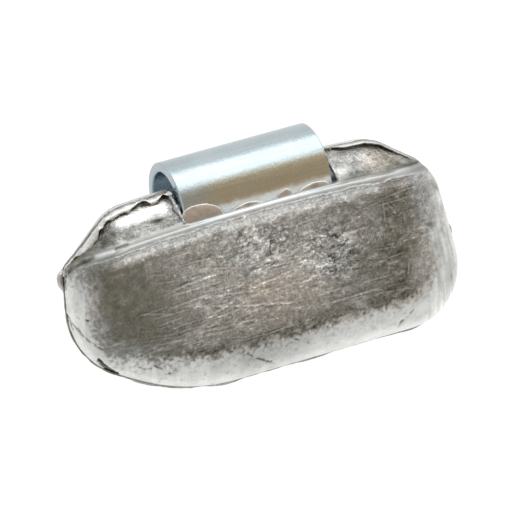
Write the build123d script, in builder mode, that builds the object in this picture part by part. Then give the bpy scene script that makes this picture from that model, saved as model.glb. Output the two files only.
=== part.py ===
"""Knock-on wheel balance weight: a lead casting with a spring-steel hook cast into its top edge.

Millimetres. X runs along the weight, Y points to the hook, Z points out of the front face.
The weight lies on its back, with the heel of the casting and the back of the hook on Z = 0.
"""

import math
import os

from build123d import *

# Wheel rim that the weight is made for
flange_radius = 290.0
flange_thickness = 5.0
flange_bend_radius = 7.5

# Steel clip
strip_width = 20.0
strip_thickness = 1.2
hook_radius = 5.4
hook_wrap = 205.0
leg_straight = 1.5
leg_slant = 20.0
leg_length = 11.0
leg_bend_radius = 4.0
anchor_hole_diameter = 5.0
strip_edge_chamfer = 0.15

# Lead casting, seen from the front
lead_length = 53.4
lead_height = 25.3
shoulder_drop = 5.7
shoulder_inset = 1.5
shoulder_radius = 6.0
tip_radius_left = 1.6
tip_radius_right = 7.5
low_corner_radius = 8.6
cut_side_height = 8.1
cut_low_length = 13.5
cut_side_radius = 9.3
cut_low_radius = 27.0
cut_slide = 0.6

# Front half of the casting, from the parting plane to the flat face
front_depth = 4.2
ridge_inset = 4.35
end_inset = 6.5
low_inset = 5.8
ridge_end_run = 0.9
ridge_end_drop = 0.4
face_corner_scale = 0.65
ridge_corner_scale = 0.06
front_steps = 4

# Back half of the casting, from the parting plane to the heel
back_depth_at_jaw = 1.5
back_end_inset = 3.0
back_low_inset = 1.2
back_top_inset = 0.4

# Flash along the parting plane
flash_width = 0.3
flash_thickness = 0.3

# Where the clip sits in the casting
clip_shift = 0.6
shoulder_above_hook_axis = 2.4
notch_above_ridge = 0.1
notch_end_gap = 0.5

# Positions that follow from the sizes above
hook_y = (lead_height + flash_width - shoulder_above_hook_axis - hook_radius) / 2
hook_z = hook_radius
strip_radius = hook_radius - strip_thickness / 2
lead_top = hook_y + shoulder_above_hook_axis
lead_bottom = lead_top - lead_height
shoulder_half_length = lead_length / 2 - shoulder_inset - end_inset - ridge_end_run
jaw_front = strip_thickness + flange_thickness
parting_z = jaw_front + back_depth_at_jaw
wheel_axis_y = hook_y - flange_radius


def on_arc(x, y):
    """Height at x of the arc about the wheel's axis that crosses the middle of the weight at y."""
    radius = y - wheel_axis_y
    return wheel_axis_y + math.sqrt(radius**2 - x**2)


def casting_outline(top, end, low, drop, low_scale=1.0, top_scale=1.0):
    """Front outline of the casting, drawn in by top, end and low at its hook side, ends and bottom."""
    half = lead_length / 2 - end
    tip_half = half - shoulder_inset
    top_y = lead_top - top
    low_y = lead_bottom + low
    shoulder_y = on_arc(shoulder_half_length, top_y)
    shoulder_left = (-shoulder_half_length, shoulder_y)
    shoulder_right = (shoulder_half_length, shoulder_y)
    tip_left = (-tip_half, shoulder_y - drop)
    tip_right = (tip_half, shoulder_y - drop)
    low_right = (half, low_y)
    cut_low = (cut_low_length - lead_length / 2 + cut_slide * end, low_y)
    cut_side = (-half, lead_bottom + cut_side_height + cut_slide * low)
    corner_radii = {
        shoulder_left: shoulder_radius * top_scale,
        shoulder_right: shoulder_radius * top_scale,
        tip_left: tip_radius_left * top_scale,
        tip_right: tip_radius_right * top_scale,
        low_right: low_corner_radius * low_scale,
        cut_low: cut_low_radius * low_scale,
        cut_side: cut_side_radius * low_scale,
    }
    with BuildSketch() as outline:
        with BuildLine():
            ThreePointArc(shoulder_left, (0, top_y), shoulder_right)
            Polyline(shoulder_right, tip_right, low_right, cut_low, cut_side, tip_left, shoulder_left)
        make_face()
        for corner, radius in corner_radii.items():
            fillet(outline.vertices().sort_by_distance(corner)[0], radius=radius)
    return outline.sketch


def front_outline(rise):
    """Outline of the front half at the fraction rise of its depth: it rounds over to the flat face."""
    rounding = 1 - math.sqrt(1 - rise**2)
    return casting_outline(
        top=ridge_inset * rise,
        end=end_inset * rounding,
        low=low_inset * rounding,
        drop=shoulder_drop + (ridge_end_drop - shoulder_drop) * rise,
        low_scale=1 + (face_corner_scale - 1) * rise,
        top_scale=1 + (ridge_corner_scale - 1) * rise,
    )


# Steel clip: the strip is drawn from the side, hook first, and its front leg slants back into the lead
leg_top_y = hook_y - leg_straight
leg_end_y = leg_top_y - leg_length * math.cos(math.radians(leg_slant))
leg_end_z = hook_z + strip_radius - leg_length * math.sin(math.radians(leg_slant))
with BuildPart() as clip:
    with BuildSketch(Plane.YZ.offset(clip_shift)):
        with BuildLine():
            CenterArc((hook_y, hook_z), strip_radius, 90, -hook_wrap)
            FilletPolyline(
                (hook_y, hook_z + strip_radius),
                (leg_top_y, hook_z + strip_radius),
                (leg_end_y, leg_end_z),
                radius=leg_bend_radius,
            )
        trace(line_width=strip_thickness)
    extrude(amount=strip_width / 2, both=True)
    with Locations((clip_shift, (leg_top_y + leg_end_y) / 2, 0)):
        Cylinder(anchor_hole_diameter / 2, 4 * hook_radius, mode=Mode.SUBTRACT)
    chamfer(clip.faces().filter_by(Axis.X).edges(), length=strip_edge_chamfer)

# Lead casting: the front half rounds over to its face, the back half is drafted down to its heel
with BuildPart() as lead:
    for step in range(front_steps + 1):
        rise = math.sin(math.pi / 2 * step / front_steps)
        with BuildSketch(Plane.XY.offset(parting_z + front_depth * rise)):
            add(front_outline(rise))
    loft()
    with BuildSketch(Plane.XY.offset(parting_z)):
        add(front_outline(0))
    with BuildSketch(Plane.XY):
        add(casting_outline(back_top_inset, back_end_inset, back_low_inset, shoulder_drop))
    loft(ruled=True)
    with BuildSketch(Plane.XY.offset(parting_z - flash_thickness / 2)):
        add(front_outline(0))
        offset(amount=flash_width)
    extrude(amount=flash_thickness)

    # Seat for the rim flange: a flat jaw face that runs out in the bend under the flange
    bend_y = hook_y - hook_radius
    seat_top = lead_top + hook_radius
    seat_bottom = bend_y - flange_bend_radius
    with BuildSketch(Plane.YZ):
        with BuildLine():
            bend = CenterArc((bend_y, jaw_front - flange_bend_radius), flange_bend_radius, 90, 90)
            Polyline(
                bend @ 0,
                (seat_top, jaw_front),
                (seat_top, -flange_bend_radius),
                (seat_bottom, -flange_bend_radius),
                bend @ 1,
            )
        make_face()
    revolve(axis=Axis((0, wheel_axis_y, 0), (0, 0, 1)), mode=Mode.SUBTRACT)

    # Notch between the shoulders, where the hook rises out of the casting
    with Locations((clip_shift - strip_width / 2, lead_top - ridge_inset + notch_above_ridge, 0)):
        Box(
            strip_width + notch_end_gap,
            lead_height,
            4 * hook_radius,
            align=(Align.MIN, Align.MIN, Align.MIN),
            mode=Mode.SUBTRACT,
        )
    add(clip.part, mode=Mode.SUBTRACT)

lead.part.label = "lead_weight"
clip.part.label = "steel_clip"
os.makedirs("parts", exist_ok=True)
for piece in (lead.part, clip.part):
    export_step(piece, f"parts/{piece.label}.step")
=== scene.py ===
"""Wheel balance weight: scuffed cast lead with torn flash and a zinc-plated hook, lying on a white floor.

Lengths are in millimetres until a mesh or a camera is made. Pixels are those of the 510 x 510 photograph.
"""

import math

import bmesh
import bpy
import numpy as np
from mathutils import Matrix, Vector
from mathutils.bvhtree import BVHTree


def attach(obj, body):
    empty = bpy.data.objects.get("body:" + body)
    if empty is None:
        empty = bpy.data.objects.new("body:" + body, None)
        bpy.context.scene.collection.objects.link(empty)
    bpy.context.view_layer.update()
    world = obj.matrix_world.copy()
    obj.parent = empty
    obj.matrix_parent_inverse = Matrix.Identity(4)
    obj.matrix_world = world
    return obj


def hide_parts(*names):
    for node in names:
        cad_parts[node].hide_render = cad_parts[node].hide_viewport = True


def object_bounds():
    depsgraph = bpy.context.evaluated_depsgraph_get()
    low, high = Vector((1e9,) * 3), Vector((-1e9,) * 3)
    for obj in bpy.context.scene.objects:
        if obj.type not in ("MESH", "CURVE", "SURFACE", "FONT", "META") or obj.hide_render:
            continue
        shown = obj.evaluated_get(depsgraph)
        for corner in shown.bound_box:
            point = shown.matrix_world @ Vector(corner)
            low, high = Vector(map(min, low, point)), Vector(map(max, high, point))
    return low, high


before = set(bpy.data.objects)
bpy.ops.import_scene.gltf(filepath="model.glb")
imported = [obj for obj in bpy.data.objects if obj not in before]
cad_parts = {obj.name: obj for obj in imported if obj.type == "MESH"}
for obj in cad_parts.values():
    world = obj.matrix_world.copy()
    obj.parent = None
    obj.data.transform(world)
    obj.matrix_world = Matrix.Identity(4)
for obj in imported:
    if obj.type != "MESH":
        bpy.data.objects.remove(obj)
cad_low, cad_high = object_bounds()
scene = bpy.context.scene
MM = 0.001
box_low = np.array(cad_low) / MM
box_high = np.array(cad_high) / MM

# Sizes shared with the solids
parting_z = 7.7
face_z = 11.9
ridge_y = 6.95
wheel_axis_y = -281.1
hook_y = 8.9
hook_z = 5.4
strip_front_z = 10.8
clip_left = -9.4
clip_right = 10.6
flash_half = 0.15

# Meshing
weld_reach = 0.002
pocket_reach = 0.02
snap_reach = 0.4
front_voxel = 0.13
back_voxel = 0.25
cut_gap = 0.01
cap_height = 0.03
line_spacing = 0.15
bead_steps = 40
bead_sides = 10
film_sides = 48

# Camera, fitted to the photograph
photo_size = 510
view_distance = 600.0
view_target = np.array([0.0, 0.0, 7.0])
view_back = np.array([-0.3509, 0.1757, 0.9198])
view_roll = math.radians(15.88)
pixels_per_mm = 8.092
target_pixel = (255.48, 256.73)
sensor_width = 36.0


def unit(vector):
    """Vector of length 1 in the same direction."""
    return np.asarray(vector, float) / np.linalg.norm(vector)


view_back = unit(view_back)
level = unit(np.array([1.0, 0.0, 0.0]) - view_back[0] * view_back)
upright = np.cross(view_back, level)
view_right = math.cos(view_roll) * level - math.sin(view_roll) * upright
view_up = math.sin(view_roll) * level + math.cos(view_roll) * upright
focal = pixels_per_mm * view_distance
slide_x = (photo_size / 2 - target_pixel[0]) / pixels_per_mm
slide_y = (target_pixel[1] - photo_size / 2) / pixels_per_mm
camera_place = view_target + view_distance * view_back + slide_x * view_right + slide_y * view_up


def to_pixels(points):
    """Photograph's pixels at which the camera sees the points."""
    offset = np.asarray(points, float) - camera_place
    depth = -(offset @ view_back)
    across = photo_size / 2 + focal * (offset @ view_right) / depth
    down = photo_size / 2 - focal * (offset @ view_up) / depth
    return np.stack([across, down], axis=-1)


def at_height(pixel, height):
    """Point at one height that the camera sees at a pixel."""
    across = (pixel[0] - photo_size / 2) / focal
    down = (pixel[1] - photo_size / 2) / focal
    ray = across * view_right - down * view_up - view_back
    return camera_place + ray * (height - camera_place[2]) / ray[2]


# Repeatable noise and painted masks
def smooth_step(low, high, value):
    """0 below low, 1 above high, and a smooth rise between them."""
    t = np.clip((np.asarray(value, float) - low) / (high - low), 0.0, 1.0)
    return t * t * (3 - 2 * t)


def bounded(values):
    """Values held between -1 and 1."""
    return np.clip(values, -1, 1)


def lattice(x, y, z, seed):
    """Repeatable value from 0 to 1 at each whole-number point."""
    word = 0xFFFFFFFF
    half_word = 0xFFFF
    mixed = (x * 374761393 + y * 668265263 + z * 1440662683 + seed * 1274126177) & word
    mixed = ((mixed ^ (mixed >> 13)) * 1103515245) & word
    return ((mixed ^ (mixed >> 16)) & half_word) / half_word


def value_noise(points, size, seed):
    """Smooth noise from -1 to 1 with features of about one size."""
    scaled = np.asarray(points, float) / size
    base = np.floor(scaled).astype(np.int64)
    part = scaled - base
    part = part * part * (3 - 2 * part)
    total = np.zeros(len(scaled))
    for corner in np.ndindex(2, 2, 2):
        weight = np.prod(np.abs(1 - np.array(corner) - part), axis=1)
        total += weight * lattice(*(base + corner).T, seed)
    return total * 2 - 1


def layered_noise(points, size, seed, layers):
    """Sum of noises, each half the size and strength of the one before."""
    total = np.zeros(len(points))
    for layer in range(layers):
        total += value_noise(points, size / 2**layer, seed + layer) / 2**layer
    return total


def line_distance(pixels, start, end):
    """Distance in pixels to a line between two pixels, and the place along it from 0 to 1."""
    start = np.asarray(start, float)
    run = np.asarray(end, float) - start
    along = np.clip(((pixels - start) @ run) / (run @ run), 0.0, 1.0)
    return np.linalg.norm(pixels - start - along[:, None] * run, axis=1), along


def blot(pixels, centre, radii, turn=0.0):
    """1 at the middle of an oval patch, falling smoothly to 0 at its rim."""
    offset = pixels - np.asarray(centre, float)
    angle = math.radians(turn)
    across = offset[:, 0] * math.cos(angle) + offset[:, 1] * math.sin(angle)
    down = offset[:, 1] * math.cos(angle) - offset[:, 0] * math.sin(angle)
    return 1 - smooth_step(0.3, 1.0, np.sqrt((across / radii[0]) ** 2 + (down / radii[1]) ** 2))


def stroke(pixels, path, width):
    """1 along a line through pixels, falling smoothly to 0 at its width."""
    nearest = np.full(len(pixels), np.inf)
    for start, end in zip(path[:-1], path[1:]):
        nearest = np.minimum(nearest, line_distance(pixels, start, end)[0])
    return 1 - smooth_step(0.3 * width, width, nearest)


def groove(pixels, start, end, width):
    """Profile of a scratch: 1 at its bottom, below 0 at its burrs, and fading at its ends."""
    distance, along = line_distance(pixels, start, end)
    ends = smooth_step(0.0, 0.2, along) * (1 - smooth_step(0.8, 1.0, along))
    bottom = np.exp(-((distance / width) ** 2))
    burrs = np.exp(-(((distance - 2 * width) / width) ** 2))
    return ends * (bottom - 0.5 * burrs)


def mark_ends(middle, angle, reach):
    """Two ends of a straight mark about one pixel, at an angle in degrees."""
    angle = math.radians(angle)
    run = np.array([math.cos(angle), math.sin(angle)]) * reach
    return middle - run, middle + run


def within(pixels, corners):
    """1 inside a shape with the given corner pixels, 0 outside it."""
    across, down = pixels.T
    odd = np.zeros(len(pixels), bool)
    for (x0, y0), (x1, y1) in zip(corners, corners[1:] + corners[:1]):
        if y0 != y1:
            crossing = x0 + (down - y0) * (x1 - x0) / (y1 - y0)
            beside = (down > min(y0, y1)) & (down <= max(y0, y1))
            odd ^= beside & (across < crossing)
    return odd.astype(float)


def softly_within(pixels, corners, softness):
    """1 inside such a shape, falling to 0 across a soft edge."""
    turns = 8
    total = within(pixels, corners)
    for turn in range(turns):
        angle = 2 * math.pi * turn / turns
        way = softness * np.array([math.cos(angle), math.sin(angle)])
        total = total + within(pixels + 0.5 * way, corners) + within(pixels + way, corners)
    return total / (2 * turns + 1)


# Casting: outer skin of the solid, with the clip's pocket closed
def tree_of(node):
    """Search tree of a node's surface."""
    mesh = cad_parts[node].data
    corners = [vertex.co / MM for vertex in mesh.vertices]
    return BVHTree.FromPolygons(corners, [tuple(face.vertices) for face in mesh.polygons])


def casting_shell():
    """Closed skin of the casting, without the pocket that the clip fills."""
    shell = bmesh.new()
    shell.from_mesh(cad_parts["lead_weight"].data)
    bmesh.ops.scale(shell, vec=(1 / MM, 1 / MM, 1 / MM), verts=shell.verts)
    bmesh.ops.remove_doubles(shell, verts=shell.verts, dist=weld_reach)
    clip_tree = tree_of("steel_clip")

    def on_clip(point):
        return clip_tree.find_nearest(point)[3] < pocket_reach

    def in_pocket(face):
        return on_clip(face.calc_center_median()) and all(on_clip(vertex.co) for vertex in face.verts)

    bmesh.ops.delete(shell, geom=[face for face in shell.faces if in_pocket(face)], context="FACES")
    bmesh.ops.holes_fill(shell, edges=[edge for edge in shell.edges if edge.is_boundary])
    bmesh.ops.triangulate(shell, faces=shell.faces)
    bmesh.ops.recalc_face_normals(shell, faces=shell.faces)
    return shell


def sliced(shell, height, **sides):
    """Copy of the skin with a cut at one height, and what lies along the cut."""
    piece = shell.copy()
    everything = [*piece.verts, *piece.edges, *piece.faces]
    plane = {"plane_co": (0, 0, height), "plane_no": (0, 0, 1)}
    cut = bmesh.ops.bisect_plane(piece, geom=everything, **plane, **sides)
    return piece, cut["geom_cut"]


def cut_off(shell, height, keep_above):
    """Closed copy of the skin above or below one height."""
    piece, _ = sliced(shell, height, clear_inner=keep_above, clear_outer=not keep_above)
    rim_edges = [edge for edge in piece.edges if edge.is_boundary]
    bmesh.ops.triangle_fill(piece, use_beauty=True, edges=rim_edges)
    bmesh.ops.recalc_face_normals(piece, faces=piece.faces)
    return piece


def placed(name, data):
    """Object in the scene that shows a mesh or holds a camera."""
    item = bpy.data.objects.new(name, data)
    scene.collection.objects.link(item)
    return item


def remeshed(piece, voxel):
    """Even grid of faces over a closed piece."""
    rough = bpy.data.meshes.new("rough")
    piece.to_mesh(rough)
    holder = placed("rough", rough)
    voxels = holder.modifiers.new("voxels", "REMESH")
    voxels.mode = "VOXEL"
    voxels.voxel_size = voxel
    even = bpy.data.meshes.new_from_object(holder.evaluated_get(bpy.context.evaluated_depsgraph_get()))
    bpy.data.objects.remove(holder)
    bpy.data.meshes.remove(rough)
    return even


def open_below(mesh, height):
    """Takes off the faces that close a mesh at its low end."""
    trim = bmesh.new()
    trim.from_mesh(mesh)
    low_faces = [face for face in trim.faces if face.calc_center_median().z < height + cap_height]
    cap = [face for face in low_faces if face.normal.z < -0.4]
    bmesh.ops.delete(trim, geom=cap, context="FACES")
    trim.to_mesh(mesh)
    trim.free()


def vertex_rows(mesh, field):
    """Places or normals of a mesh's vertices as rows."""
    flat = np.empty(len(mesh.vertices) * 3)
    mesh.vertices.foreach_get(field, flat)
    return flat.reshape(-1, 3)


def set_positions(mesh, points):
    """Moves the vertices of a mesh."""
    mesh.vertices.foreach_set("co", np.asarray(points, float).ravel())
    mesh.update()


def snapped(points, tree):
    """Points moved to the nearest place on a surface."""
    out = points.copy()
    for i, point in enumerate(points):
        place, _, _, distance = tree.find_nearest(Vector(point))
        if distance < snap_reach:
            out[i] = place
    return out


def relaxed(mesh, points, weight, rounds):
    """Points drawn toward the middle of their neighbours, each as far as its weight allows."""
    ends = np.empty(len(mesh.edges) * 2, dtype=np.int64)
    mesh.edges.foreach_get("vertices", ends)
    one, other = ends[0::2], ends[1::2]
    neighbours = np.bincount(ends, minlength=len(points))
    for _ in range(rounds):
        middle = np.empty_like(points)
        for axis in range(3):
            total = np.bincount(one, points[other, axis], len(points))
            total += np.bincount(other, points[one, axis], len(points))
            middle[:, axis] = total / neighbours
        points = points + 0.5 * weight[:, None] * (middle - points)
    return points


def lead_piece(name, mesh):
    """Piece of lead from a mesh in millimetres, kept within the solids' box."""
    mesh.name = name
    set_positions(mesh, np.clip(vertex_rows(mesh, "co"), box_low, box_high) * MM)
    mesh.materials.clear()
    mesh.materials.append(lead)
    mesh.shade_smooth()
    piece = placed(name, mesh)
    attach(piece, "root")
    return piece


def set_layers(mesh, **layers):
    """Stores layers that the material reads: one value for all vertices, or one for each."""
    for name, values in layers.items():
        layer = mesh.attributes.new(name, "FLOAT", "POINT")
        layer.data.foreach_set("value", np.full(len(mesh.vertices), values, dtype=float))


# Materials
class Nodes:
    """Node tree with short ways to add nodes and to link them."""

    def __init__(self, tree):
        self.nodes = tree.nodes
        self.links = tree.links

    def feed(self, socket, value):
        """Gives a socket a plain value or the output of another node."""
        if isinstance(value, bpy.types.NodeSocket):
            self.links.new(value, socket)
        else:
            socket.default_value = value

    def add(self, kind, inputs, **settings):
        """New node of one kind, with its settings made and its sockets fed."""
        node = self.nodes.new("ShaderNode" + kind)
        for name, value in settings.items():
            setattr(node, name, value)
        for key, value in inputs.items():
            self.feed(node.inputs[key], value)
        return node

    def vector(self, operation, first, second=(0, 0, 0), scale=1.0):
        """Operation on vectors, of which a length and a dot product are numbers."""
        node = self.add("VectorMath", {0: first, 1: second, 3: scale}, operation=operation)
        return node.outputs["Value" if operation in ("LENGTH", "DOT_PRODUCT") else "Vector"]

    def maths(self, operation, first, second):
        """Operation on two numbers."""
        return self.add("Math", {0: first, 1: second}, operation=operation).outputs[0]

    def plus(self, first, second):
        """Two numbers added."""
        return self.maths("ADD", first, second)

    def times(self, first, second):
        """Two numbers multiplied."""
        return self.maths("MULTIPLY", first, second)

    def remap(self, value, low, high, new_low=0.0, new_high=1.0, smooth=False):
        """Number moved from one range to another and held within it."""
        inputs = {"Value": value, "From Min": low, "From Max": high, "To Min": new_low, "To Max": new_high}
        way = "SMOOTHSTEP" if smooth else "LINEAR"
        return self.add("MapRange", inputs, interpolation_type=way).outputs["Result"]

    def mixed(self, factor, below, above):
        """Colour that goes from below to above with a factor."""
        inputs = {"Factor": factor, "A": below, "B": above}
        return self.add("Mix", inputs, data_type="RGBA").outputs["Result"]


class Shading(Nodes):
    """Material whose places are in millimetres on the piece."""

    def __init__(self, name):
        self.material = bpy.data.materials.new(name)
        self.material.use_nodes = True
        super().__init__(self.material.node_tree)
        self.shader = self.nodes["Principled BSDF"]
        coordinates = self.add("TexCoord", {})
        self.place = self.vector("SCALE", coordinates.outputs["Object"], scale=1 / MM)

    def noise(self, size, detail, roughness=0.5, place=None):
        """Noise from 0 to 1 with features of about one size."""
        inputs = {"Scale": 1 / size, "Detail": detail, "Roughness": roughness}
        return self.add("TexNoise", {"Vector": place or self.place, **inputs}).outputs["Fac"]

    def stretched(self, turn, scale):
        """Places turned about Z by some degrees and scaled along each axis."""
        rotation = (0, 0, math.radians(turn))
        inputs = {"Vector": self.place, "Rotation": rotation, "Scale": scale}
        return self.add("Mapping", inputs).outputs[0]

    def attribute(self, name):
        """Layer that is stored at the vertices."""
        return self.add("Attribute", {}, attribute_name=name).outputs["Fac"]

    def shade(self, name, value):
        """Feeds one of the shader's sockets."""
        self.feed(self.shader.inputs[name], value)

    def bump(self, height, strength, distance):
        """Fine relief in the shading."""
        inputs = {"Height": height, "Strength": strength, "Distance": distance * MM}
        self.shade("Normal", self.add("Bump", inputs).outputs["Normal"])


# Colours of the two metals
cool_lead = (0.635, 0.70, 0.73, 1)
warm_lead = (0.755, 0.69, 0.62, 1)
untarnished = (1.0, 1.0, 1.0, 1)
olive_tarnish = (1.0, 1.02, 0.93, 1)
blue_zinc = (0.38, 0.445, 0.47, 1)
pale_zinc = (0.43, 0.495, 0.515, 1)
warm_stain_and_reflection = (0.475, 0.455, 0.36, 1)
bore_shade = (0.19, 0.27, 0.33, 1)
white_bloom = (0.86, 0.92, 0.95, 1)
bright_bits = (0.72, 0.75, 0.76, 1)

# Where the clip's colour changes: heights, places along and up it, and radii about the hook's axis
stain_and_reflection_heights = (10.15, 10.5)
stain_and_reflection_start = (-9.0, -3.0)
bloom_heights = (10.0, 10.4)
bloom_start = (8.5, 7.5)
bore_edge = (4.35, 4.22)


def lead_material():
    """Dull cast lead: mottled grey, fine grain, lengthwise scratches, a tone layer that carries painted
    highlights and shade as well as its patches, and olive tarnish where that tone is dark.
    """
    make = Shading("cast_lead")
    mottle = make.remap(make.noise(size=1.6, detail=5, roughness=0.6), 0.35, 0.65)
    fine = make.noise(size=0.2, detail=2, roughness=0.7)
    coarse = make.noise(size=0.42, detail=2, roughness=0.6)
    streak = make.noise(size=1.0, detail=2, place=make.stretched(4, (0.10, 4.5, 0.5)))
    hairs = make.noise(size=1.0, detail=3, place=make.stretched(-5, (0.07, 5.0, 0.4)))
    tone = make.attribute("tone")
    grain = make.attribute("grain")
    rubbed = make.attribute("streak")

    bright_hairs = make.remap(hairs, 0.63, 0.72, 0.0, 0.30)
    dark_hairs = make.remap(hairs, 0.37, 0.28, 0.0, 0.22)
    brushed = make.times(make.maths("SUBTRACT", bright_hairs, dark_hairs), rubbed)
    speckle = make.maths("SUBTRACT", make.plus(fine, coarse), 1.0)
    speckle = make.times(speckle, grain)
    grained = make.plus(make.plus(speckle, brushed), 1.0)
    grained = make.maths("MAXIMUM", grained, 0.25)
    cloud = make.remap(mottle, 0, 1, 0.92, 1.08)
    shade = make.times(make.times(tone, cloud), grained)
    tint = make.mixed(make.attribute("warm"), cool_lead, warm_lead)
    tarnish = make.mixed(make.remap(tone, 0.44, 0.28), untarnished, olive_tarnish)
    tint = make.vector("MULTIPLY", tint, tarnish)
    make.shade("Base Color", make.vector("SCALE", tint, scale=shade))
    make.shade("Metallic", 0.92)

    rough = make.plus(make.remap(mottle, 0, 1, 0.24, 0.31), make.times(grain, 0.03))
    rough = make.plus(rough, make.times(make.attribute("matte"), 0.28))
    make.shade("Roughness", rough)

    relief = make.plus(make.times(coarse, 0.65), make.times(fine, 0.35))
    drawn = make.times(make.times(streak, 0.16), rubbed)
    relief = make.plus(make.times(relief, grain), drawn)
    make.bump(relief, strength=1.0, distance=0.22)
    return make.material


def zinc_material():
    """Bright zinc plate on spring strip: fine specks, a warm band on its front that is partly heat-stained
    and partly a painted reflection of the tan opening overhead, and a pale bloom by the lead.
    """
    make = Shading("zinc_steel")
    along, up, out = make.add("SeparateXYZ", {0: make.place}).outputs
    specks = make.noise(size=0.385, detail=4)
    patches = make.noise(size=1.3, detail=4, roughness=0.6)
    shift = make.times(make.maths("SUBTRACT", patches, 0.5), 2.0)
    bits = make.remap(make.noise(size=0.14, detail=2, roughness=0.6), 0.64, 0.74, 0.0, 0.55)
    plate = make.mixed(make.remap(make.noise(size=4.0, detail=3), 0.3, 0.7), blue_zinc, pale_zinc)

    # Warm band on the strip's front: partly heat-stained, partly a painted reflection of the tan opening
    # overhead.
    stain_and_reflection = make.remap(out, *stain_and_reflection_heights, smooth=True)
    from_end = make.remap(make.plus(along, shift), *stain_and_reflection_start, smooth=True)
    stain_and_reflection = make.times(stain_and_reflection, from_end)
    stain_and_reflection = make.times(stain_and_reflection, make.remap(patches, 0.32, 0.48, 0.7, 1.0))
    plate = make.mixed(stain_and_reflection, plate, warm_stain_and_reflection)

    from_axis = make.vector("SUBTRACT", make.place, (0.0, hook_y, hook_z))
    radius = make.vector("LENGTH", make.vector("MULTIPLY", from_axis, (0.0, 1.0, 1.0)))
    plate = make.mixed(make.remap(radius, *bore_edge), plate, bore_shade)

    ragged_row = make.plus(up, make.times(shift, 0.5))
    bloom = make.remap(ragged_row, *bloom_start, smooth=True)
    bloom = make.times(bloom, make.remap(out, *bloom_heights))
    plate = make.mixed(bloom, plate, white_bloom)
    plate = make.mixed(bits, plate, bright_bits)

    streak = make.noise(size=1.0, detail=3, place=make.stretched(0, (0.12, 4.0, 4.0)))
    drawn = make.remap(streak, 0.35, 0.65, 0.94, 1.05)
    make.shade("Base Color", make.vector("SCALE", plate, scale=drawn))
    make.shade("Metallic", 1.0)
    rough = make.remap(specks, 0.3, 0.7, 0.21, 0.31)
    rough = make.plus(rough, make.times(bloom, 0.33))
    make.shade("Roughness", rough)
    make.bump(specks, strength=0.5, distance=0.03)
    return make.material


lead = lead_material()
zinc = zinc_material()

# Outlines and lines seen in the photograph, by pixel
face_edge = [
    (84, 298), (85, 324), (93, 342), (107, 357), (118, 361), (149, 361), (173, 361), (199, 358), (218, 355),
    (232, 350), (250, 349), (285, 336), (310, 325), (348, 317), (376, 310), (404, 303), (418, 293),
    (444, 272),
]
low_face_edge = face_edge[5:]
long_scratches = [
    ((166, 295), (232, 267)), ((200, 326), (243, 295)), ((174, 307), (265, 306)), ((204, 332), (265, 318)),
    ((168, 298), (229, 280)), ((178, 288), (238, 268)), ((190, 300), (262, 290)), ((244, 306), (300, 302)),
    ((245, 292), (300, 268)), ((342, 236), (372, 226)), ((330, 304), (380, 289)), ((170, 310), (205, 297)),
]
end_scratches = [
    ((384, 198), (387, 225)), ((388, 203), (398, 214)), ((428, 258), (437, 254)), ((411, 262), (410, 276)),
]
cracks = [
    [(156, 368), (163, 371), (166, 375), (170, 376)],
    [(66, 315), (71, 323), (78, 331), (84, 338), (92, 345), (102, 351)],
    [(76, 317), (81, 320), (87, 322)],
    [(296, 340), (303, 341), (309, 344)],
    [(246, 354), (258, 360), (268, 363), (276, 363)],
    [(398, 327), (408, 318), (416, 311)],
    [(62, 318), (68, 321), (72, 330)],
    [(139, 368), (147, 371), (152, 370)],
    [(60, 300), (64, 309), (62, 316)],
]
pits = [
    (316, 329), (374, 328), (431, 225), (177, 372), (199, 326), (238, 308), (263, 320), (271, 317),
    (301, 324),
]
glare_patch_corners = [
    (112, 225), (114, 219), (140, 208), (166, 201), (172, 208), (170, 213), (152, 217), (134, 224),
    (120, 227),
]
glare_shadow_line = [(130, 225), (142, 222), (154, 221), (162, 218), (168, 215)]
corner_facet = [(61, 276), (69, 256), (84, 245), (95, 255), (84, 262), (72, 269)]
corner_crease = [(93, 258), (82, 263), (72, 269), (63, 276)]
chip = [(98, 361), (104, 367), (110, 371), (117, 375)]
white_nick = [(245, 219), (247, 223)]
left_nick = [(117, 250), (127, 246)]
dark_right_line = [(396, 185), (400, 235), (402, 280)]

# Oval patches seen in the photograph, by pixel: centre, radii and turn in degrees
worn_ovals = [((262, 245), (44, 36), -16), ((330, 252), (44, 38), -16)]
dark_left_end = ((134, 308), (80, 66), 18)
dark_low_corner = ((405, 294), (44, 22), -30)
light_middle = ((265, 262), (150, 74), -16)
light_low = ((285, 306), (70, 30), -14)
dull_right = ((375, 262), (34, 50), -10)
dull_right_tall = ((360, 250), (34, 70), -8)
dull_bevel = ((275, 352), (80, 24), -18)
streaked_bevel = ((150, 370), (60, 24), 8)
dark_left_ledge = ((104, 238), (24, 16), -30)
dull_right_ledge = ((390, 162), (30, 20), 20)
pale_by_clip = ((342, 172), (18, 16))
painted_tip_shade = ((415, 168), (26, 14), 20)
painted_crest_shades = [((402, 168), (32, 9), -10), ((357, 173), (28, 7), -14)]
warm_low = ((285, 300), (75, 36), -14)
warm_right_end = ((418, 255), (18, 46), -8)
warm_right_ledge = ((388, 162), (36, 24), 10)

# Columns, rows and distances of the photograph at which a look comes in or goes out
soft_edge_columns = (150, 230)
left_corner_rows = (272, 298)
left_corner_reach = 24
face_left_columns = (70, 106)
face_right_columns = (424, 450)
middle_row = 230
fleck_start = (104, 132)
fleck_end = (368, 392)
pale_left_columns = (84, 116)
pale_right_columns = (408, 426)
dust_start = (95, 125)
dust_end = (405, 435)
dust_reach = 10
painted_bevel_reflection_rows = (10, 26)
end_streak_columns = (415, 440)
strip_start = (66, 90)
strip_tip_columns = (112, 124)
strip_end_columns = (395, 425)
shade_behind_crest_columns = (322, 348)
dull_patch_columns = (150, 172)

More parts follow.
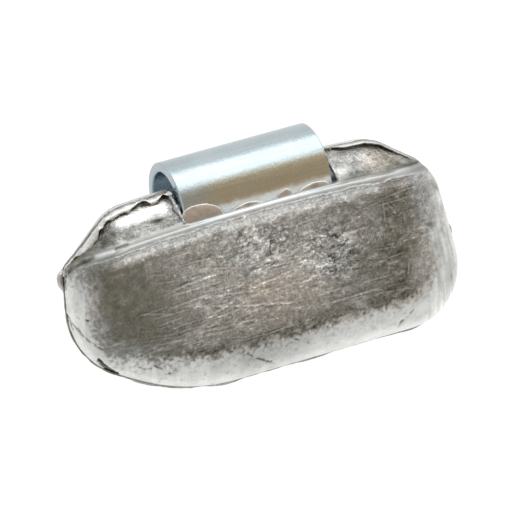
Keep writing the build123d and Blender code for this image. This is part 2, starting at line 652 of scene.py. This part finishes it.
# Random scratches between the face's sloping top and its low edge, by pixel and degree
scratch_count = 120
spread_count = 80
spread_columns = (150, 400)
close_columns = (170, 290)
face_slope = 0.27
face_top_row = 282.5
edge_margin = 6
scratch_slant = -15
slant_spread = 7
scratch_reaches = (6, 30)
scratch_strengths = (0.3, 0.8)

# Random stubs in a grid over the face's worn middle, by pixel and degree
stub_rows = 3
stub_columns = 6
stub_gaps = (22, 16)
stub_jitter = (9, 7)
stub_angles = (-80, 50)
stub_reaches = (3, 8)
first_stub_column = 230
worn_middle = (290, 252)

# Zones of the front: the way halfway between the camera and the dim opening overhead, for a painted
# reflection, distances from the ridge, tilts of the skin toward the hook, and heights
opening_mirror_way = np.array([-0.13, 0.09, 0.987])
opening_mirror_cosines = (0.92, 0.975)
ledge_start = (0.25, 0.9)
ledge_tilts = (0.25, 0.5)
rim_end = (0.55, 0.95)
shelf_start = (0.8, 1.6)
shelf_heights = (8.5, 11.4)
fleck_band_start = (0.72, 1.1)
fleck_band_end = (1.55, 2.6)
lip_shade_heights = (parting_z + 0.75, parting_z + 1.35)

# Tones that the zones start from, where 1 is clean lead, and the warmth of plain lead
face_base = 0.38
bevel_base = 0.95
strip_base = 0.56
left_ledge_base = 0.46
right_ledge_base = 0.56
glare_patch_base = 1.05
corner_shade_base = 0.12
back_base = 0.8
even_warmth = 0.51

# Relief of the front
ridge_run = 1.35
ridge_roll = 0.27
ridge_heights = (8.5, 10.5)
face_recess = 0.26
rubbed_depth = 0.05
swell_depth = 0.05
ripple_depth = 0.07
fold_depth = 0.10
hammer_depth = 0.17
crest_height = 0.24
grit_depth = 0.03
fibre_depth = 0.05
wrinkle_depth = 0.10
ledge_dent_depth = 0.14
ledge_crumple_depth = 0.07
scratch_depth = 0.05
stub_height = 0.20
crack_depth = 0.05
burr_height = 0.12
pit_depth = 0.08
chip_depth = 0.20
nick_depth = 0.12
crease_depth = 0.06

# Front of the casting, with its ridge rounded
shell = casting_shell()
shell_tree = BVHTree.FromBMesh(shell)
front_cut = parting_z + flash_half + cut_gap
back_cut = parting_z - flash_half - cut_gap
front = remeshed(cut_off(shell, front_cut, True), front_voxel)
open_below(front, front_cut)
points = snapped(vertex_rows(front, "co"), shell_tree)
set_positions(front, points)
x, y, z = points.T
below_ridge = wheel_axis_y + np.sqrt((ridge_y - wheel_axis_y) ** 2 - x**2) - y
near_ridge = 1 - smooth_step(0.5, 1.2, np.hypot(below_ridge, face_z - z))
above_cut = smooth_step(front_cut + 0.1, front_cut + 0.5, z)
points = relaxed(front, points, above_cut * (0.06 + 0.94 * near_ridge), rounds=30)
x, y, z = points.T
from_ridge = np.where(below_ridge > 0, below_ridge / ridge_run, -below_ridge)
z -= ridge_roll * np.clip(1 - from_ridge, 0, 1) ** 2 * smooth_step(*ridge_heights, z)
set_positions(front, points)
outward = vertex_rows(front, "normal")
pixels = to_pixels(points)
column, row = pixels.T


def by_column(columns):
    """Smooth rise from 0 to 1 between two columns of the photograph."""
    return smooth_step(*columns, column)


def oval(patch):
    """Oval patch of the photograph, on the front."""
    return blot(pixels, *patch)


# Noises that the zones, the relief and the tone share
broad = value_noise(points, size=3.0, seed=3)
swell = layered_noise(points, size=6.0, seed=11, layers=3)
ripple = layered_noise(points, size=1.4, seed=23, layers=4)
fine = layered_noise(points, size=0.5, seed=37, layers=3)
speck = layered_noise(points, size=0.34, seed=41, layers=2)
crumple = layered_noise(points, size=1.0, seed=29, layers=2)
fibres = layered_noise(points * (0.6, 1.2, 1.0), size=0.62, seed=31, layers=2)
long_points = points * (0.8, 1.2, 1.0)
raised = smooth_step(0.80, 0.97, 1 - np.abs(layered_noise(long_points, size=0.7, seed=45, layers=2)))
sunken = smooth_step(0.80, 0.97, 1 - np.abs(layered_noise(long_points, size=0.8, seed=47, layers=2)))
shake = np.stack([ripple, fine], axis=1)

# Zones: the face inside its ragged edge, the rim along the ridge, the ledges behind it
edge_across, edge_down = np.array(face_edge, float).T
edge_row = np.interp(column, edge_across, edge_down)
low_left = 1 - by_column(soft_edge_columns)
ragged_edge = edge_row + (5.0 - 2.5 * low_left) * ripple + 2.0 * fine
edge_blur = 2.0 + 4.5 * low_left
on_face = smooth_step(-1.0, 1.0, (ragged_edge - row) / edge_blur + 0.8 * speck)
from_left = column + left_corner_reach * (1 - smooth_step(*left_corner_rows, row))
on_face *= smooth_step(*face_left_columns, from_left + 6 * ripple + 12 * speck)
on_face *= 1 - smooth_step(*face_right_columns, column + 0.12 * (row - middle_row) + 8 * ripple)
# Skin turned to mirror the dim opening into the camera counts as face and takes its dark tone: a painted
# reflection.
painted_opening_mirror = smooth_step(*opening_mirror_cosines, outward @ opening_mirror_way + 0.012 * ripple + 0.022 * speck)
on_face = np.maximum(on_face, painted_opening_mirror * smooth_step(0.0, 0.6, below_ridge))
ledge = smooth_step(*ledge_start, -below_ridge) * smooth_step(*ledge_tilts, outward[:, 1])
left_ledge = ledge * (x < 0)
right_ledge = ledge * (x > 0)
rim = (1 - ledge) * (1 - smooth_step(*rim_end, below_ridge + 0.12 * ripple))
shelf = smooth_step(*shelf_start, below_ridge + 0.15 * ripple) * smooth_step(*shelf_heights, z)
sparkle = smooth_step(*fleck_band_start, below_ridge + 0.1 * ripple)
sparkle *= 1 - smooth_step(*fleck_band_end, below_ridge + 0.4 * ripple)
sparkle *= by_column(fleck_start) * (1 - 0.6 * by_column(fleck_end))
worn = np.maximum(*map(oval, worn_ovals))
left_dark = oval(dark_left_end)
middle_light = oval(light_middle)
# Smooth patch on the left ledge that is painted bright: a painted reflection of the tent.
patch = softly_within(pixels + 1.5 * shake, glare_patch_corners, softness=5.0)
bare_ledge = ledge * (1 - patch)

# Relief of the zones, cut inward from the solid's skin
depth = rubbed_depth * on_face * shelf + face_recess * shelf
depth += swell_depth * (1 + bounded(swell)) * shelf
depth += shelf * ripple_depth * np.abs(ripple)
askew = math.radians(37)
slanting_x = x * math.cos(askew) - y * math.sin(askew) + 0.45 * ripple
slanting_y = x * math.sin(askew) + y * math.cos(askew) + 0.45 * crumple
slanting = np.stack([slanting_x, slanting_y, z], axis=1)
folds = layered_noise(slanting * (1.1, 0.8, 1.0), size=4.2, seed=61, layers=3)
crests = smooth_step(0.74, 0.92, 1 - np.abs(folds)) * worn
hammered = bounded(layered_noise(slanting, size=2.1, seed=67, layers=3))
depth += worn * (fold_depth * smooth_step(-0.2, 0.3, folds) + hammer_depth * (1 + hammered))
depth -= crest_height * crests * shelf
gritty = on_face * shelf * (1 - 0.65 * left_dark) + 0.5 * sparkle + 0.5 * bare_ledge
depth += grit_depth * gritty * (1 - 0.4 * worn) * (1 + bounded(fine))
fibrous = (fibre_depth + fibre_depth * worn) * (1 + bounded(fibres))
depth += gritty * (fibrous + grit_depth * (1 + bounded(ripple)))
wrinkled = on_face * shelf * (0.3 + 0.25 * middle_light + 0.6 * worn) * (1 - 0.8 * left_dark)
depth += wrinkle_depth * wrinkled * (sunken - raised)
depth += ledge_dent_depth * bare_ledge * np.clip(broad + 0.5, 0, 1)
depth += ledge_crumple_depth * bare_ledge * (1 + bounded(crumple))

# Relief of the marks
scratch = np.zeros(len(points))
for start, end in long_scratches:
    scratch += groove(pixels, start, end, width=0.9)
for start, end in end_scratches:
    scratch += 0.8 * groove(pixels, start, end, width=0.8)
chance = np.random.default_rng(7)
for turn in range(scratch_count):
    across = chance.uniform(*(spread_columns if turn < spread_count else close_columns))
    lowest = np.interp(across, edge_across, edge_down) - edge_margin
    down = chance.uniform(face_top_row - face_slope * across, lowest)
    slant = chance.normal(scratch_slant, slant_spread)
    start, end = mark_ends((across, down), slant, chance.uniform(*scratch_reaches))
    scratch += chance.uniform(*scratch_strengths) * groove(pixels, start, end, width=0.7)
scratch *= on_face
depth += scratch_depth * scratch
shaken = pixels + 2.0 * shake
stubs = np.zeros(len(points))
for turn in range(stub_rows * stub_columns):
    line, place = divmod(turn, stub_columns)
    across = first_stub_column + stub_gaps[0] * place + chance.uniform(-stub_jitter[0], stub_jitter[0])
    down = worn_middle[1] - face_slope * (across - worn_middle[0]) + stub_gaps[1] * (line - 1)
    down += chance.uniform(-stub_jitter[1], stub_jitter[1])
    ends = mark_ends((across, down), chance.uniform(*stub_angles), chance.uniform(*stub_reaches))
    stubs = np.maximum(stubs, stroke(shaken, ends, width=3.6))
stubs *= worn * shelf
depth -= stub_height * stubs
split = np.max([stroke(pixels + 1.2 * shake, path, width=1.5) for path in cracks], axis=0)
hollow = np.max([blot(pixels + 2.5 * shake, place, radii=(4.5, 3.0)) for place in pits], axis=0)
burr = stroke(pixels + shake, white_nick, width=3.2)
chipped = stroke(pixels + shake, chip, width=3.0)
nick = stroke(pixels, left_nick, width=3.5)
crease = stroke(pixels, corner_crease, width=3.0)
depth += crack_depth * split - burr_height * burr + pit_depth * hollow
depth += chip_depth * chipped + nick_depth * nick + crease_depth * crease
points = points - outward * depth[:, None]
height = points[:, 2]
set_positions(front, points)

# Tone of the face: darker and lighter patches, bright scratches, painted highlights on its fleck band,
# flecks, crests and raised bits, and painted shade where its relief sinks
right_dark = np.maximum(stroke(pixels, dark_right_line, width=24), oval(dark_low_corner))
edge_dark = stroke(pixels, low_face_edge, width=14)
edge_dark *= smooth_step(-0.5, 0.5, ripple + 0.3 * broad + 0.2)
face_tone = face_base + 0.20 * middle_light - 0.09 * left_dark - 0.12 * right_dark - 0.15 * edge_dark
# The fleck band under the ridge, the stubs and the burr take painted highlights.
face_tone += 0.05 * ripple + 0.62 * sparkle + 0.12 * stubs + 0.7 * burr
face_tone += 0.30 * np.clip(scratch, 0, 1) + 0.25 * np.clip(scratch, -0.5, 0)
# Painted glints on flecks within that band.
face_tone += 0.45 * sparkle * smooth_step(0.0, 0.60, 0.5 * crumple + 0.8 * speck)
# Painted highlights on the crests and painted shade where the hammered relief sinks.
face_tone += 0.16 * crests - 0.11 * worn * hammered
# Painted highlights on raised wrinkles and painted shade in sunken ones.
face_tone += wrinkled * (0.48 * raised * (1 - sunken) - 0.24 * sunken)
# Painted glints on the fibres, strongest in the worn middle and weakest at the dark left end.
fleck_glint_strength = (1 - 0.6 * left_dark) * (1 + 0.4 * middle_light + 0.8 * worn)
face_tone += (0.08 * bounded(fibres) + 0.16 * smooth_step(0.5, 0.95, fibres)) * fleck_glint_strength
face_tone += 0.05 * oval(light_low)
face_tone -= 0.05 * oval(dull_right) + 0.05 * oval(dull_right_tall)
face_tone += 0.14 * (1 - smooth_step(*pale_left_columns, from_left + 6 * speck))
face_tone += 0.15 * smooth_step(*pale_right_columns, column + 0.1 * (row - middle_row) + 5 * ripple)

# Tone of the bevels round the face
below_edge = row - edge_row
dust = np.exp(-np.clip(below_edge, 0, None) / dust_reach) * smooth_step(-0.2, 0.7, speck + 0.2 * ripple)
dust *= by_column(dust_start) * (1 - by_column(dust_end))
upright_streaks = value_noise(points * (3.0, 0.25, 0.6), size=1.0, seed=121)
upright_streaks += 0.6 * value_noise(points * (5.0, 0.4, 0.6), size=1.0, seed=123)
end_streaks = upright_streaks * by_column(end_streak_columns)
low_streaks = upright_streaks * oval(streaked_bevel)
skin_tone = bevel_base + 0.06 * ripple - 0.20 * smooth_step(0.55, 0.95, fine) - 0.55 * dust
skin_tone += 0.20 * end_streaks + 0.09 * low_streaks - 0.22 * oval(dull_bevel)
# Painted reflection of the floor: the bevel is lighter further below the face's edge.
skin_tone += 0.14 * smooth_step(*painted_bevel_reflection_rows, below_edge)
tone = skin_tone + (face_tone - skin_tone) * on_face * (1 - rim)

# Tone of the strip along the ridge, with a painted highlight along its crest
# Painted highlight: a narrow bright line along the ridge's crest, half as strong at the right end.
painted_ridge_glint = np.exp(-(((below_ridge + 0.02) / 0.20) ** 2))
strip = rim * by_column(strip_start)
strip_end = by_column(strip_end_columns)
strip_tip = 1 - by_column(strip_tip_columns)
# Painted shade behind the crest toward its right end, where the skin would mirror the bright panel.
painted_shade_behind_crest = smooth_step(0.08, 0.40, -below_ridge) * by_column(shade_behind_crest_columns)
strip_tone = strip_base - 0.26 * strip_tip + 0.42 * painted_ridge_glint * (1 - 0.5 * strip_end)
strip_tone += strip_end * (0.08 * upright_streaks - 0.12)
strip_tone -= (0.30 + 0.20 * strip_end) * painted_shade_behind_crest
tone += (strip_tone - tone) * strip

# Tone of the ledges, with a painted reflection and a painted shadow line on the left one, the left corner,
# and the marks
# Painted shadow line along the patch's edge.
painted_line_shadow = stroke(pixels + 0.8 * shake[:, ::-1], glare_shadow_line, width=2.5)
left_tone = left_ledge_base + 0.12 * ripple + 0.22 * crumple + 0.10 * broad
left_tone -= 0.25 * oval(dark_left_ledge) + 0.30 * painted_line_shadow * (1 - patch)
glare_patch_tone = glare_patch_base + 0.14 * ripple - 0.20 * by_column(dull_patch_columns)
left_tone += (glare_patch_tone - left_tone) * patch
right_tone = right_ledge_base + 0.10 * ripple + 0.20 * crumple + 0.20 * oval(pale_by_clip)
# The tip of the right ledge takes painted shade.
right_tone -= 0.08 * oval(dull_right_ledge) + 0.12 * oval(painted_tip_shade)
right_tone -= 0.10 * painted_shade_behind_crest * (1 - smooth_step(0.9, 1.8, -below_ridge))
tone += (left_tone - tone) * left_ledge
tone += (right_tone - tone) * right_ledge
# Painted shade in two ovals along the crest's right part.
tone *= 1 - 0.36 * np.maximum(*map(oval, painted_crest_shades))
# The left corner facet is painted dark and warm, as painted shade over its bright reflection.
corner = softly_within(shaken, corner_facet, softness=5.0)
tone += (corner_shade_base + 0.08 * ripple - tone) * 0.9 * corner
# Painted shadow, a little warm, on the ledges just under the folded lips.
painted_lip_shadow = ledge * (1 - smooth_step(*lip_shade_heights, height - 0.25 * ripple))
tone *= 1 - (0.32 - 0.12 * right_ledge) * painted_lip_shadow * (1 - 0.8 * patch)
# The cracks, pits, chip, nick and crease are painted darker: painted shade in their hollows.
tone -= 0.60 * split * smooth_step(-0.7, 0.2, fine) + 0.18 * hollow + 0.95 * chipped
tone -= 0.25 * nick + 0.25 * crease
# Painted shade on the lowest band of the front, along the cut where the flash meets it.
tone *= 1 - 0.45 * (1 - smooth_step(front_cut + 0.02, front_cut + 0.16, height))

# Warmth and grain
near_crest = np.exp(-((below_ridge / 0.8) ** 2))
warm = even_warmth + on_face * (0.05 * broad + 0.04) + 0.25 * on_face * oval(warm_low)
warm += 0.08 * on_face * oval(warm_right_end) + 0.15 * on_face * right_dark
warm += 0.10 * on_face * smooth_step(0.2, 0.8, broad) * (1 - left_dark) - 0.18 * on_face * left_dark
warm += 0.5 * right_ledge * oval(warm_right_ledge) - 0.16 * sparkle
warm += 0.3 * corner + 0.2 * painted_lip_shadow - 0.22 * near_crest * (1 - strip_end) - 0.2 * nick
rubbed = on_face * (1 - rim) * (1 - 0.5 * left_dark)
grain = (0.10 + 0.9 * rubbed + 0.30 * bare_ledge) * (1 - 0.9 * patch) + 0.6 * worn + 0.3 * sparkle
# The tone layer carries painted highlights and shade as well as the lead's own lighter and darker patches.
set_layers(
    front,
    tone=np.clip(tone, 0.06, 1.30),
    warm=np.clip(warm, 0.0, 1.0),
    grain=np.clip(grain, 0.0, 1.6),
    streak=rubbed,
    matte=np.maximum(near_crest * (1 - 0.4 * painted_ridge_glint), nick),
)
front_piece = lead_piece("lead_front", front)

# Back of the casting
back = remeshed(cut_off(shell, back_cut, False), back_voxel)
points = snapped(vertex_rows(back, "co"), shell_tree)
set_positions(back, points)
back_tone = np.clip(back_base + 0.15 * layered_noise(points, size=4.0, seed=51, layers=4), 0, 1)
set_layers(back, tone=back_tone, warm=0.5, grain=0.5, streak=0.0, matte=0.3)
lead_piece("lead_back", back)


# Thin pieces of lead
def walked(corners, stops):
    """Points along a line, at the lengths that stops makes of its whole length."""
    run = np.append(0.0, np.cumsum(np.linalg.norm(np.diff(corners, axis=0), axis=1)))
    return np.stack([np.interp(stops(run[-1]), run, line) for line in corners.T], axis=1)


def parting_line(height, spacing):
    """Outline of the skin at one height, from end to end of the notch, and the ways out."""
    notch_left, notch_right, notch_floor = clip_left - 0.2, clip_right + 0.7, 6.5
    piece, cut = sliced(shell, height)
    joined = {}
    for edge in cut:
        if isinstance(edge, bmesh.types.BMEdge):
            first, second = edge.verts
            joined.setdefault(first, []).append(second)
            joined.setdefault(second, []).append(first)
    start = min(joined, key=lambda vertex: vertex.co.y)
    loop = [start, joined[start][0]]
    while loop[-1] != start:
        following = [vertex for vertex in joined[loop[-1]] if vertex != loop[-2]]
        loop.append(following[0])
    corners = np.array([vertex.co.xy for vertex in loop])
    piece.free()
    turning = corners[:-1, 0] * corners[1:, 1] - corners[1:, 0] * corners[:-1, 1]
    if turning.sum() < 0:
        corners = corners[::-1]
    spine = walked(corners, lambda length: np.arange(0.0, length, spacing))
    ahead = np.roll(spine, -3, axis=0) - np.roll(spine, 3, axis=0)
    ahead /= np.linalg.norm(ahead, axis=1)[:, None]
    out = np.stack([ahead[:, 1], -ahead[:, 0]], axis=1)
    in_notch = (spine[:, 0] > notch_left) & (spine[:, 0] < notch_right) & (spine[:, 1] > notch_floor)
    first = int(np.flatnonzero(in_notch & ~np.roll(in_notch, -1))[-1]) + 1
    kept = ~np.roll(in_notch, -first)
    return np.roll(spine, -first, axis=0)[kept], np.roll(out, -first, axis=0)[kept]


def ring_faces(count, sides):
    """Faces between closed rings of points that follow one another."""
    faces = []
    for near in range(0, (count - 1) * sides, sides):
        far = near + sides
        for side in range(sides):
            following = (side + 1) % sides
            faces.append((near + side, near + following, far + following, far + side))
    return faces


def ringed_mesh(rings):
    """Closed mesh of rings of points, with a face over its first and its last ring."""
    count, sides = rings.shape[:2]
    last = (count - 1) * sides
    ends = [tuple(range(sides)), tuple(range(last + sides - 1, last - 1, -1))]
    mesh = bpy.data.meshes.new("rings")
    mesh.from_pydata(rings.reshape(-1, 3).tolist(), [], ends + ring_faces(count, sides))
    return mesh


def swept(spine, out, profile):
    """Mesh of a profile along a line, whose corners have how far out and how high they lie."""
    rings = np.empty((len(spine), len(profile), 3))
    for i, (reach, rise) in enumerate(profile):
        rings[:, i, :2] = spine + out * np.reshape(reach, (-1, 1))
        rings[:, i, 2] = parting_z + rise
    mesh = ringed_mesh(rings)
    sides_out = bmesh.new()
    sides_out.from_mesh(mesh)
    bmesh.ops.recalc_face_normals(sides_out, faces=sides_out.faces)
    sides_out.to_mesh(mesh)
    sides_out.free()
    return mesh


def lead_scrap(name, mesh, tone, warm, grain, matte=0.0):
    """Thin piece of lead from a mesh, with a little mottling over its tone."""
    mottled = tone + 0.15 * layered_noise(vertex_rows(mesh, "co"), size=0.9, seed=71, layers=3)
    mottled = np.clip(mottled, 0.05, 1.15)
    set_layers(mesh, tone=mottled, warm=warm, grain=grain, streak=0.0, matte=matte)
    lead_piece(name, mesh)


# Flash squeezed out along the parting line, wider at slivers: amount, centre and radii by pixel
flash_slivers = [
    (0.9, (226, 385), (26, 12)),
    (0.7, (140, 384), (28, 12)),
    (0.5, (310, 357), (30, 12)),
    (0.6, (180, 389), (30, 10)),
    (0.4, (405, 322), (46, 18)),
    (0.4, (450, 280), (14, 32)),
    (1.0, (452, 228), (8, 9)),
    (3.0, (60, 281), (12, 13)),
]
flash_width = 0.13
sliver_width = 0.22
flash_root = -0.2
root_height = flash_half + 0.02
left_ledge_y = 4.2
right_ledge_y = 6.2
spine, out = parting_line(front_cut, line_spacing)
along = np.arange(len(spine)) * line_spacing
waver = np.stack([along, np.zeros(len(along)), np.zeros(len(along))], axis=1)
spine_pixels = to_pixels(np.column_stack([spine, np.full(len(spine), parting_z)]))
spine_column = spine_pixels[:, 0]
slivers = sum(amount * blot(spine_pixels, centre, radii) for amount, centre, radii in flash_slivers)
width = flash_width + 0.05 * layered_noise(waver, size=1.6, seed=81, layers=3) + sliver_width * slivers
width = np.clip(width, 0.04, 1.0)
thick = 0.06 + 0.05 * smooth_step(0.2, 0.8, width)
flash_profile = [(flash_root, -root_height), (width, -thick), (width, thick), (flash_root, root_height)]
bright = np.clip(slivers, 0, 1)
root_tone = np.where(spine[:, 1] > left_ledge_y, 0.45, 0.28) + 0.25 * bright
edge_tone = 0.30 + 0.45 * bright
flash_tone = np.stack([root_tone, edge_tone, edge_tone, root_tone], axis=1).ravel()
lead_scrap("lead_flash", swept(spine, out, flash_profile), flash_tone, warm=0.5, grain=0.4)


# Flash lips along the top of both ledges
def folded_lip(name, chosen, rise, lean, crumple, seed, tone):
    """Strip of flash that stands on the parting line and folds over the ledge."""
    root_depth = 0.14
    bend = 0.35 * lean * rise
    sway = 0.10 * crumple * layered_noise(waver[chosen], size=1.2, seed=seed, layers=3)
    curl = 0.34 * crumple * layered_noise(waver[chosen], size=1.2, seed=seed + 9, layers=3)
    profile = [
        (0.06, -root_depth),
        (0.10 - bend, 0.5 * rise),
        (0.04 - lean * rise + curl, rise),
        (-0.08 - lean * rise + curl, rise - 0.05),
        (-0.06 - bend, 0.5 * rise - 0.03),
        (-0.12, -root_depth),
    ]
    lip = swept(spine[chosen] + out[chosen] * sway[:, None], out[chosen], profile)
    lead_scrap(name, lip, tone, warm=0.5, grain=0.3)


# Height of the left lip by column of the photograph, and columns between which the lips change
left_rise = [
    (60, 0.3), (68, 0.7), (80, 0.95), (92, 1.0), (110, 1.0), (130, 0.9), (136, 0.55), (142, 0.85),
    (162, 1.0), (170, 1.5),
]
upright_columns = (160, 170)
right_rise = 0.85
right_rise_start = (326, 345)
right_rise_end = (430, 395)
on_left = np.flatnonzero((spine[:, 0] < 0) & (spine[:, 1] > left_ledge_y))
left_lean = 0.36 - 0.26 * smooth_step(*upright_columns, spine_column[on_left])
left_height = np.interp(spine_column[on_left], *np.array(left_rise).T)
left_height *= 1 + 0.30 * layered_noise(waver[on_left], size=2.4, seed=91, layers=2)
folded_lip("left_lip", on_left, left_height, left_lean, crumple=1.0, seed=95, tone=0.85)
on_right = np.flatnonzero((spine[:, 0] > 0) & (spine[:, 1] > right_ledge_y))
right_height = right_rise * smooth_step(*right_rise_end, spine_column[on_right])
right_height *= smooth_step(*right_rise_start, spine_column[on_right])
right_height *= 1 + 0.1 * layered_noise(waver[on_right], size=2.5, seed=93, layers=2)
folded_lip("right_lip", on_right, 0.12 + right_height, lean=0.28, crumple=0.2, seed=97, tone=0.7)


# Bead of lead that climbs the left ledge beside the clip
def tube(centres, radii):
    """Closed round bead along a line of points that keep one X."""
    sideways = np.array([1.0, 0.0, 0.0])
    ahead = np.gradient(centres, axis=0)
    ahead /= np.linalg.norm(ahead, axis=1)[:, None]
    aside = np.cross(ahead, sideways)
    turns = np.linspace(0, 2 * math.pi, bead_sides, endpoint=False)[None, :, None]
    ring = np.cos(turns) * aside[:, None, :] + np.sin(turns) * sideways
    return ringed_mesh(centres[:, None, :] + radii[:, None, None] * ring)


bead_start = (clip_left - 0.40, 11.0, 7.9)
bead_run = (0.0, -3.8, 3.5)
climb = np.linspace(0.0, 1.0, bead_steps)
bead_line = bead_start + climb[:, None] * bead_run
bead_line[:, 2] += 0.12 * layered_noise(bead_line, size=0.9, seed=101, layers=2)
bead_radii = 0.42 - 0.20 * climb + 0.22 * layered_noise(bead_line, size=0.8, seed=103, layers=3)
lead_scrap("clip_bead", tube(bead_line, bead_radii), 0.62, warm=0.5, grain=0.6)

# Films of lead that lap up the clip's front leg, by pixel
films = {
    "film_left": [
        (180, 234), (183, 211), (191, 206), (205, 203), (217, 205), (224, 210), (228, 222), (204, 232),
    ],
    "film_middle": [(224, 224), (233, 209), (246, 202), (258, 200), (266, 203), (270, 212), (244, 222)],
    "film_small": [(274, 205), (279, 193), (286, 188), (292, 190), (296, 202)],
    "film_right": [(292, 204), (300, 189), (313, 182), (326, 180), (331, 184), (332, 196), (306, 203)],
}
# Rings of a film, from its rim inward: reach from the centre, lift off the strip and how much painted
# highlight it takes
film_rings = [(1.0, -0.02, 1.0), (0.96, 0.04, 1.0), (0.85, 0.06, 0.3), (0.6, 0.07, 0.0), (0.3, 0.07, 0.0)]
film_lift = 0.07


def film_mesh(corners):
    """Thin domed patch on the strip, with the given corner pixels."""
    rim_points = np.array([at_height(corner, strip_front_z) for corner in corners])
    closed = np.vstack([rim_points, rim_points[:1]])
    edge = walked(closed, lambda length: np.linspace(0.0, length, film_sides, endpoint=False))
    edge = (np.roll(edge, 1, axis=0) + edge + np.roll(edge, -1, axis=0)) / 3
    centre = edge.mean(axis=0)
    rows = []
    for reach, lift, _ in film_rings:
        ring = centre + (edge - centre) * reach
        ring[:, 2] = strip_front_z + lift + 0.02 * value_noise(ring, size=0.5, seed=111)
        rows.append(ring)
    places = np.vstack(rows + [centre + (0.0, 0.0, film_lift)])
    faces = [tuple(reversed(range(film_sides)))] + ring_faces(len(rows), film_sides)
    last = (len(rows) - 1) * film_sides
    for side in range(film_sides):
        faces.append((last + side, last + (side + 1) % film_sides, len(places) - 1))
    mesh = bpy.data.meshes.new("film")
    mesh.from_pydata(places.tolist(), [], faces)
    return mesh


# Painted highlight along the films' rims: paler and cooler there.
painted_rim_highlight = np.append(np.repeat([pale for _, _, pale in film_rings], film_sides), 0.0)
film_tone = 0.64 + 0.50 * painted_rim_highlight
film_warmth = 0.85 - 0.40 * painted_rim_highlight
for name, corners in films.items():
    lead_scrap(name, film_mesh(corners), film_tone, film_warmth, grain=0.15, matte=0.15)

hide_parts("lead_weight")
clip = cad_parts["steel_clip"]
clip.data.materials.clear()
clip.data.materials.append(zinc)

# Floor of white paper, in metres
floor_reach = 3.0
floor_corners = [(x * floor_reach, y * floor_reach, 0) for x, y in ((-1, -1), (1, -1), (1, 1), (-1, 1))]
floor_mesh = bpy.data.meshes.new("floor")
floor_mesh.from_pydata(floor_corners, [], [(0, 1, 2, 3)])
floor = placed("floor", floor_mesh)
paper = bpy.data.materials.new("white_paper")
paper.use_nodes = True
paper_sockets = paper.node_tree.nodes["Principled BSDF"].inputs
paper_sockets["Base Color"].default_value = (0.25, 0.25, 0.25, 1)
paper_sockets["Roughness"].default_value = 0.9
paper_sockets["Emission Color"].default_value = (1, 1, 1, 1)
paper_sockets["Emission Strength"].default_value = 0.85
floor_mesh.materials.append(paper)

# Light tent: white all round, with a bright panel on the hook's side and a dim warm opening overhead
tent_white = (0.86, 0.87, 0.87, 1)
panel_white = (2.45, 2.48, 2.5, 1)
panel_way = (0.35, 0.90, 0.22)
panel_cosines = (0.76, 0.91)
opening_tan = (0.56, 0.46, 0.36, 1)
opening_way = (0.10, 0.0, 0.995)
opening_cosines = (0.74, 0.90)
world = bpy.data.worlds.new("tent")
scene.world = world
world.use_nodes = True
tent = Nodes(world.node_tree)
direction = tent.add("TexCoord", {}).outputs["Generated"]


def toward(way, cosines):
    """Socket that rises from 0 to 1 as the direction nears one way."""
    nearness = tent.vector("DOT_PRODUCT", direction, Vector(way).normalized())
    return tent.remap(nearness, *cosines, smooth=True)


walls = tent.mixed(toward(panel_way, panel_cosines), tent_white, panel_white)
sky = tent.nodes["Background"]
tent.feed(sky.inputs["Color"], tent.mixed(toward(opening_way, opening_cosines), walls, opening_tan))
sky.inputs["Strength"].default_value = 1.0

# Camera
eye_data = bpy.data.cameras.new("camera")
eye_data.sensor_width = sensor_width
eye_data.lens = sensor_width * focal / photo_size
eye_data.clip_start = 0.01
eye_data.clip_end = 100.0
eye = placed("camera", eye_data)
turned = Matrix((view_right, view_up, view_back)).transposed()
eye.matrix_world = Matrix.Translation(Vector(camera_place * MM)) @ turned.to_4x4()
scene.camera = eye
scene.view_settings.view_transform = "Standard"
